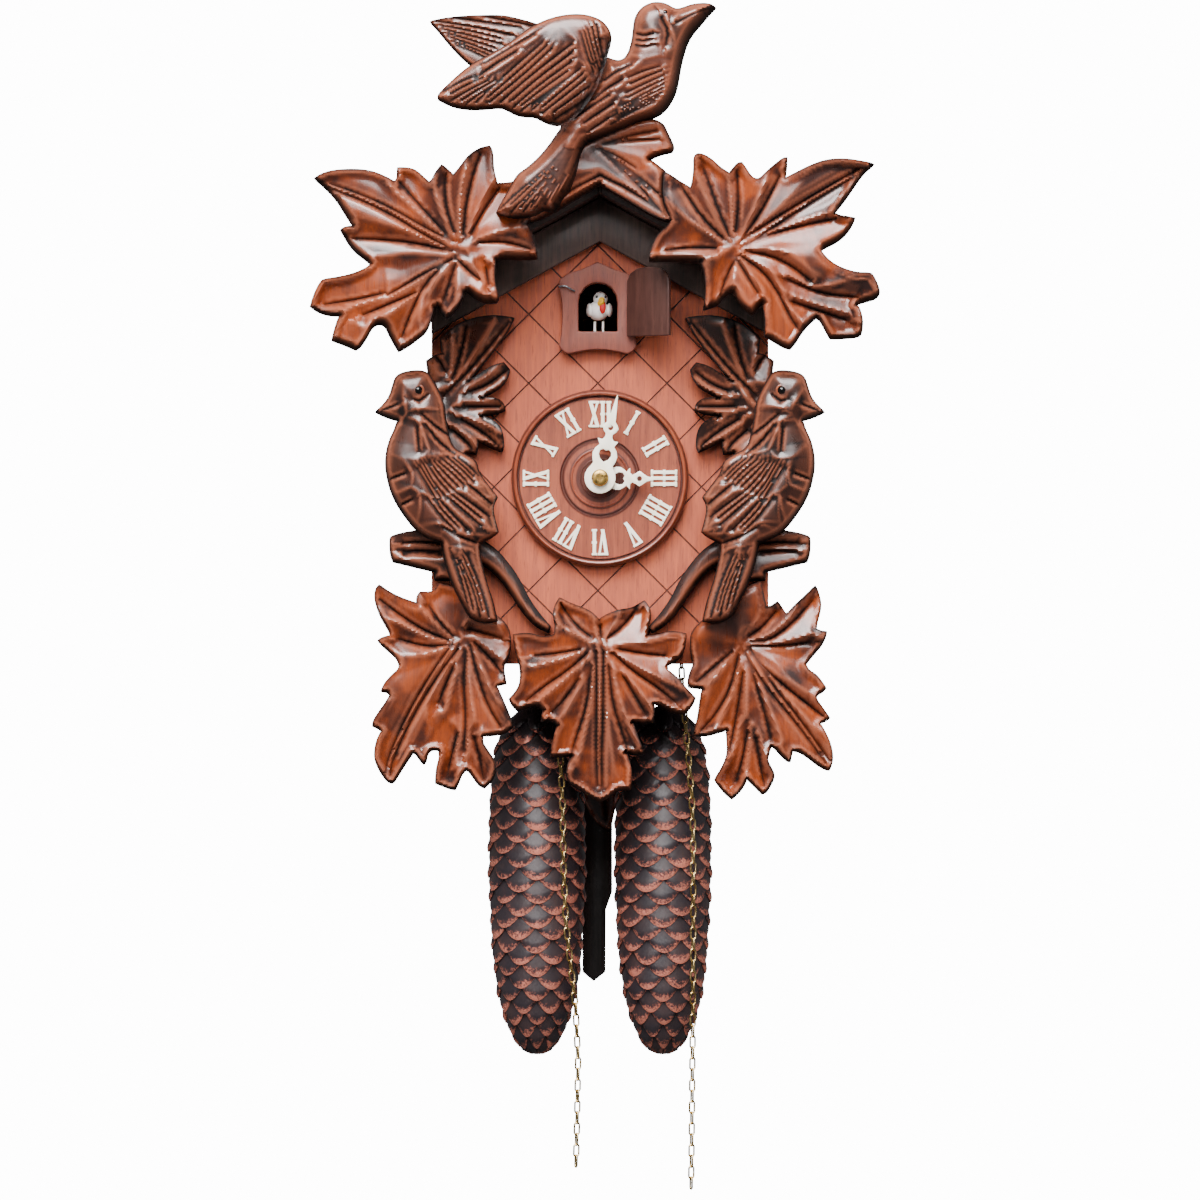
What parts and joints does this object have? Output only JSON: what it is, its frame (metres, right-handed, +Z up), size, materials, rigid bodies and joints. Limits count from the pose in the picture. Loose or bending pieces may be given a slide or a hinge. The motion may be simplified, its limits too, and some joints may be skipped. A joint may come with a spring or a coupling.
{
  "type": "cuckoo clock",
  "caption": "Carved wall clock with a cuckoo behind a small door, a bird and leaves round the case, a pendulum, and two cone weights on chains.",
  "frame": {"origin": "on the flat rear face of the top back rail, at its middle, 17 mm below the hook hole; the wall is the plane y = 0", "axes": "+Z up, +Y into the wall, +X to the right as the clock is seen, so its front faces -Y"},
  "size_m": [0.2603, 0.178, 0.546],
  "materials": {
    "panel_wood": "red-brown stained panel with an engraved lattice, satin varnish",
    "case_wood": "dark brown stain, satin",
    "dark_wood": "black-brown stain, satin",
    "carved_wood": "carved, dark stain rubbed to orange on the ridges, gloss varnish",
    "dial_wood": "turned, brown stain, satin varnish",
    "ivory_plastic": "ivory, moulded, slightly glossy",
    "brass": "rolled brass, satin",
    "steel": "drawn and cut steel, satin",
    "bellows_wood": "bare pale wood with paper seams",
    "bird_paint": "painted white with yellow beak and red mouth",
    "weight_iron": "cast fir cone, dark lacquer with copper-coloured scale lips"
  },
  "bodies": {
    "case": {"front_panel": "panel_wood", "door_plaque": "panel_wood", "side_left": "case_wood", "side_right": "case_wood", "bottom_board": "case_wood", "back_rail": "case_wood", "hook_plate": "steel", "roof_left": "dark_wood", "roof_right": "dark_wood", "gable_board": "dark_wood", "crown_branch": "carved_wood", "crown_bird": "carved_wood", "crown_wing_front": "carved_wood", "crown_wing_back": "carved_wood", "leaf_upper_left": "carved_wood", "leaf_upper_right": "carved_wood", "spray_left": "carved_wood", "spray_right": "carved_wood", "bird_left": "carved_wood", "bird_right": "carved_wood", "leaf_lower_left": "carved_wood", "leaf_lower_right": "carved_wood", "leaf_bottom": "carved_wood", "dial": "dial_wood", "front_plate": "brass", "back_plate": "brass", "bellows_left": "bellows_wood", "bellows_right": "bellows_wood"},
    "minute": {"centre_wheel": "brass", "minute_hand": "ivory_plastic", "hand_nut": "brass"},
    "hour": {"hour_wheel": "brass", "hour_hand": "ivory_plastic"},
    "motion": {"minute_wheel": "brass"},
    "time_great": {"time_great_wheel": "brass"},
    "third": {"third_wheel": "brass"},
    "escape": {"escape_wheel": "brass"},
    "anchor": {"anchor": "steel"},
    "pendulum": {"pendulum_leader": "steel", "pendulum_rod": "dark_wood", "pendulum_bob": "carved_wood"},
    "strike_great": {"strike_great_wheel": "brass"},
    "pin_wheel": {"pin_wheel": "brass"},
    "fly": {"fly": "brass"},
    "hammer": {"hammer": "steel"},
    "cuckoo": {"cuckoo_arm": "case_wood", "cuckoo": "bird_paint"},
    "cuckoo_door": {"cuckoo_door": "case_wood"},
    "time_weight": {"chain_time_weight": "brass", "weight_time": "weight_iron"},
    "time_chain": {"chain_time_free": "brass"},
    "time_sprocket": {"time_sprocket": "brass"},
    "strike_weight": {"chain_strike_weight": "brass", "weight_strike": "weight_iron"},
    "strike_chain": {"chain_strike_free": "brass"},
    "strike_sprocket": {"strike_sprocket": "brass"},
    "bellows_left_top": {"bellows_left_top": "bellows_wood"},
    "bellows_right_top": {"bellows_right_top": "bellows_wood"},
    "back_door": {"back_door": "case_wood", "gong": "steel"}
  },
  "joints": [
    {"name": "minute_arbor", "type": "hinge", "parent": "case", "child": "minute", "pos_m": [0, -0.1, -0.08], "axis": [0, 1, 0], "continuous": true},
    {"name": "hour_pipe", "type": "hinge", "parent": "case", "child": "hour", "pos_m": [0, -0.1, -0.08], "axis": [0, 1, 0], "continuous": true},
    {"name": "minute_wheel_post", "type": "hinge", "parent": "case", "child": "motion", "pos_m": [-0.0088, -0.087, -0.0888], "axis": [0, 1, 0], "continuous": true},
    {"name": "time_great_arbor", "type": "hinge", "parent": "case", "child": "time_great", "pos_m": [0.0359, -0.065, -0.088], "axis": [0, 1, 0], "continuous": true},
    {"name": "third_arbor", "type": "hinge", "parent": "case", "child": "third", "pos_m": [0.013, -0.065, -0.0615], "axis": [0, 1, 0], "continuous": true},
    {"name": "escape_arbor", "type": "hinge", "parent": "case", "child": "escape", "pos_m": [0.003, -0.065, -0.0495], "axis": [0, 1, 0], "continuous": true},
    {"name": "pendulum_swing", "type": "hinge", "parent": "case", "child": "pendulum", "pos_m": [0, -0.036, -0.035], "axis": [0, 1, 0], "range_deg": [-6, 6]},
    {"name": "anchor_rock", "type": "hinge", "parent": "case", "child": "anchor", "pos_m": [0, -0.06, -0.035], "axis": [0, 1, 0], "range_deg": [-6, 6]},
    {"name": "strike_great_arbor", "type": "hinge", "parent": "case", "child": "strike_great", "pos_m": [-0.0231, -0.065, -0.096], "axis": [0, 1, 0], "continuous": true},
    {"name": "pin_wheel_arbor", "type": "hinge", "parent": "case", "child": "pin_wheel", "pos_m": [-0.036, -0.065, -0.075], "axis": [0, 1, 0], "continuous": true},
    {"name": "fly_arbor", "type": "hinge", "parent": "case", "child": "fly", "pos_m": [-0.0245, -0.065, -0.0638], "axis": [0, 1, 0], "continuous": true},
    {"name": "hammer_lift", "type": "hinge", "parent": "case", "child": "hammer", "pos_m": [-0.038, -0.024, -0.048], "axis": [0, 1, 0], "range_deg": [-15, 0]},
    {"name": "cuckoo_swing", "type": "hinge", "parent": "case", "child": "cuckoo", "pos_m": [-0.044, -0.09, -0.02], "axis": [0, 0, 1], "range_deg": [0, 35]},
    {"name": "cuckoo_door_hinge", "type": "hinge", "parent": "case", "child": "cuckoo_door", "pos_m": [0.0129, -0.1136, -0.0122], "axis": [0, 0, 1], "range_deg": [-140, 0]},
    {"name": "time_weight_drop", "type": "slide", "parent": "case", "child": "time_weight", "axis": [0, 0, -1], "range_m": [0, 0.13]},
    {"name": "time_chain_rise", "type": "slide", "parent": "case", "child": "time_chain", "axis": [0, 0, 1], "range_m": [0, 0.13]},
    {"name": "time_sprocket_turn", "type": "hinge", "parent": "case", "child": "time_sprocket", "pos_m": [0.0359, -0.066, -0.088], "axis": [0, 1, 0], "range_deg": [-1170, 0]},
    {"name": "strike_weight_drop", "type": "slide", "parent": "case", "child": "strike_weight", "axis": [0, 0, -1], "range_m": [0, 0.13]},
    {"name": "strike_chain_rise", "type": "slide", "parent": "case", "child": "strike_chain", "axis": [0, 0, 1], "range_m": [0, 0.13]},
    {"name": "strike_sprocket_turn", "type": "hinge", "parent": "case", "child": "strike_sprocket", "pos_m": [-0.0231, -0.066, -0.096], "axis": [0, 1, 0], "range_deg": [-1170, 0]},
    {"name": "bellows_left_lift", "type": "hinge", "parent": "case", "child": "bellows_left_top", "pos_m": [-0.06175, -0.08, -0.0146], "axis": [1, 0, 0], "range_deg": [0, 12]},
    {"name": "bellows_right_lift", "type": "hinge", "parent": "case", "child": "bellows_right_top", "pos_m": [0.06175, -0.08, -0.0146], "axis": [1, 0, 0], "range_deg": [0, 12]},
    {"name": "back_door_hinge", "type": "hinge", "parent": "case", "child": "back_door", "pos_m": [-0.0697, 0, -0.08], "axis": [0, 0, 1], "range_deg": [0, 100]}
  ],
  "couplings": [
    {"joint": "hour_pipe", "follows": "minute_arbor", "ratio": 0.083333},
    {"joint": "minute_wheel_post", "follows": "minute_arbor", "ratio": -0.33333},
    {"joint": "time_great_arbor", "follows": "minute_arbor", "ratio": -0.20833},
    {"joint": "third_arbor", "follows": "minute_arbor", "ratio": -5},
    {"joint": "escape_arbor", "follows": "minute_arbor", "ratio": 18.75},
    {"joint": "anchor_rock", "follows": "pendulum_swing", "ratio": 1},
    {"joint": "pin_wheel_arbor", "follows": "strike_great_arbor", "ratio": -4.5},
    {"joint": "fly_arbor", "follows": "strike_great_arbor", "ratio": 16.875},
    {"joint": "cuckoo_door_hinge", "follows": "cuckoo_swing", "ratio": -4},
    {"joint": "time_chain_rise", "follows": "time_weight_drop", "ratio": 1},
    {"joint": "time_sprocket_turn", "follows": "time_weight_drop", "rad_per_m": -156.25},
    {"joint": "strike_chain_rise", "follows": "strike_weight_drop", "ratio": 1},
    {"joint": "strike_sprocket_turn", "follows": "strike_weight_drop", "rad_per_m": -156.25}
  ]
}
